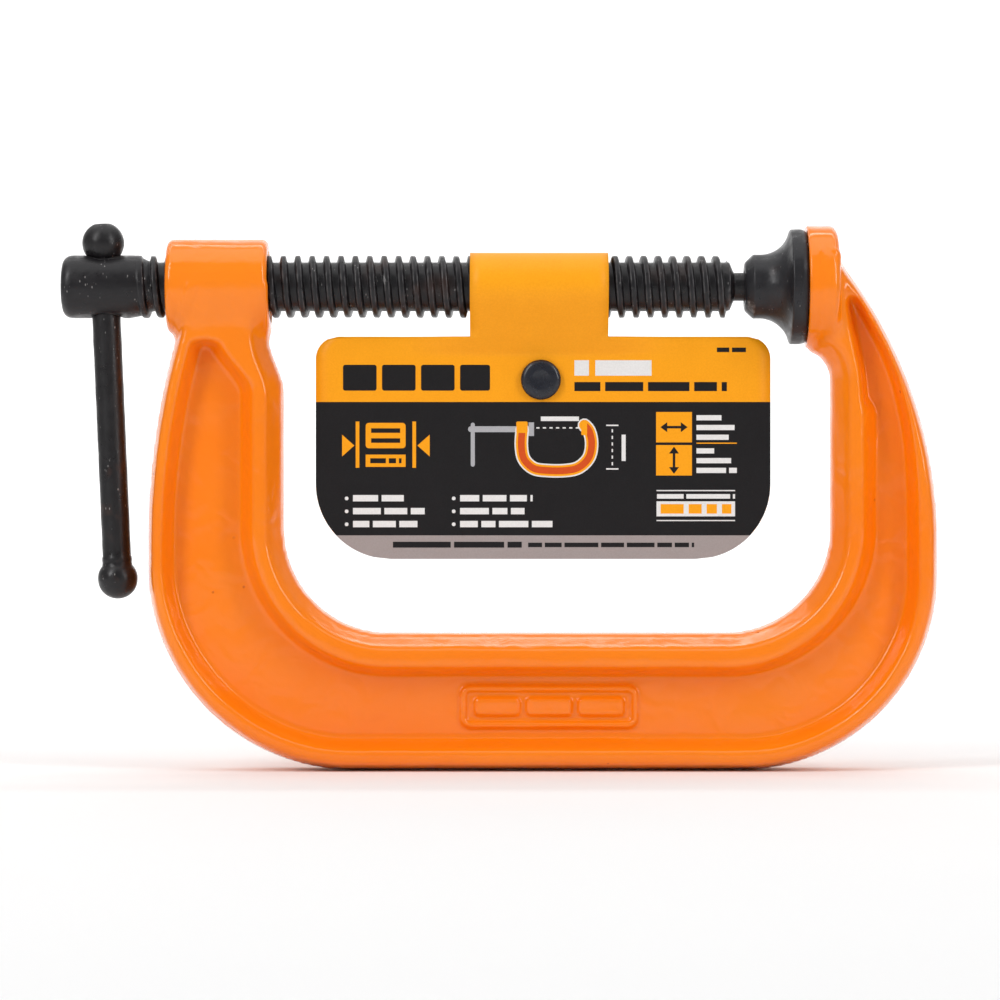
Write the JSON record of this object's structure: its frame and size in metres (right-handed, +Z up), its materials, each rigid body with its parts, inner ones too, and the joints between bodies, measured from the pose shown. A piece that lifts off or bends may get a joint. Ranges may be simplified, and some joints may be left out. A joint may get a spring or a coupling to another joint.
{
  "type": "c clamp",
  "caption": "Cast C clamp with a threaded screw, sliding bar handle, swivel pad and a folded hang card over the screw.",
  "frame": {"origin": "centre of the bounding box at the bottom of the spine", "axes": "+X along the screw from the handle to the anvil, +Y across the casting away from the viewer, +Z up from the spine to the screw"},
  "size_m": [0.1928, 0.027, 0.1208],
  "materials": {
    "casting_enamel": "gloss",
    "screw_steel": "satin",
    "handle_steel": "satin",
    "pad_iron": "satin",
    "printed_card": "satin",
    "rivet_plastic": "gloss"
  },
  "bodies": {
    "frame": {"frame": "casting_enamel"},
    "pad": {"swivel_pad": "pad_iron"},
    "screw": {"screw": "screw_steel"},
    "handle": {"handle_bar": "handle_steel", "handle_ball": "handle_steel"},
    "card": {"hang_card": "printed_card", "rivet_button": "rivet_plastic", "rivet_cap": "rivet_plastic"}
  },
  "joints": [
    {"name": "screw_feed", "type": "slide", "parent": "frame", "child": "pad", "axis": [1, 0, 0], "range_m": [-0.1016, 0], "deforming": ["hang_card"]},
    {"name": "screw_turn", "type": "hinge", "parent": "pad", "child": "screw", "pos_m": [0, 0, 0.1064], "axis": [1, 0, 0], "range_deg": [-11520, 0]},
    {"name": "handle_slide", "type": "slide", "parent": "screw", "child": "handle", "axis": [-0.0436, 0, 0.999], "range_m": [0, 0.0545]},
    {"name": "card_swing", "type": "hinge", "parent": "frame", "child": "card", "pos_m": [0, 0, 0.1064], "axis": [1, 0, 0], "continuous": true}
  ],
  "couplings": [
    {"joint": "screw_feed", "follows": "screw_turn", "m_per_rad": 0.0005053}
  ]
}
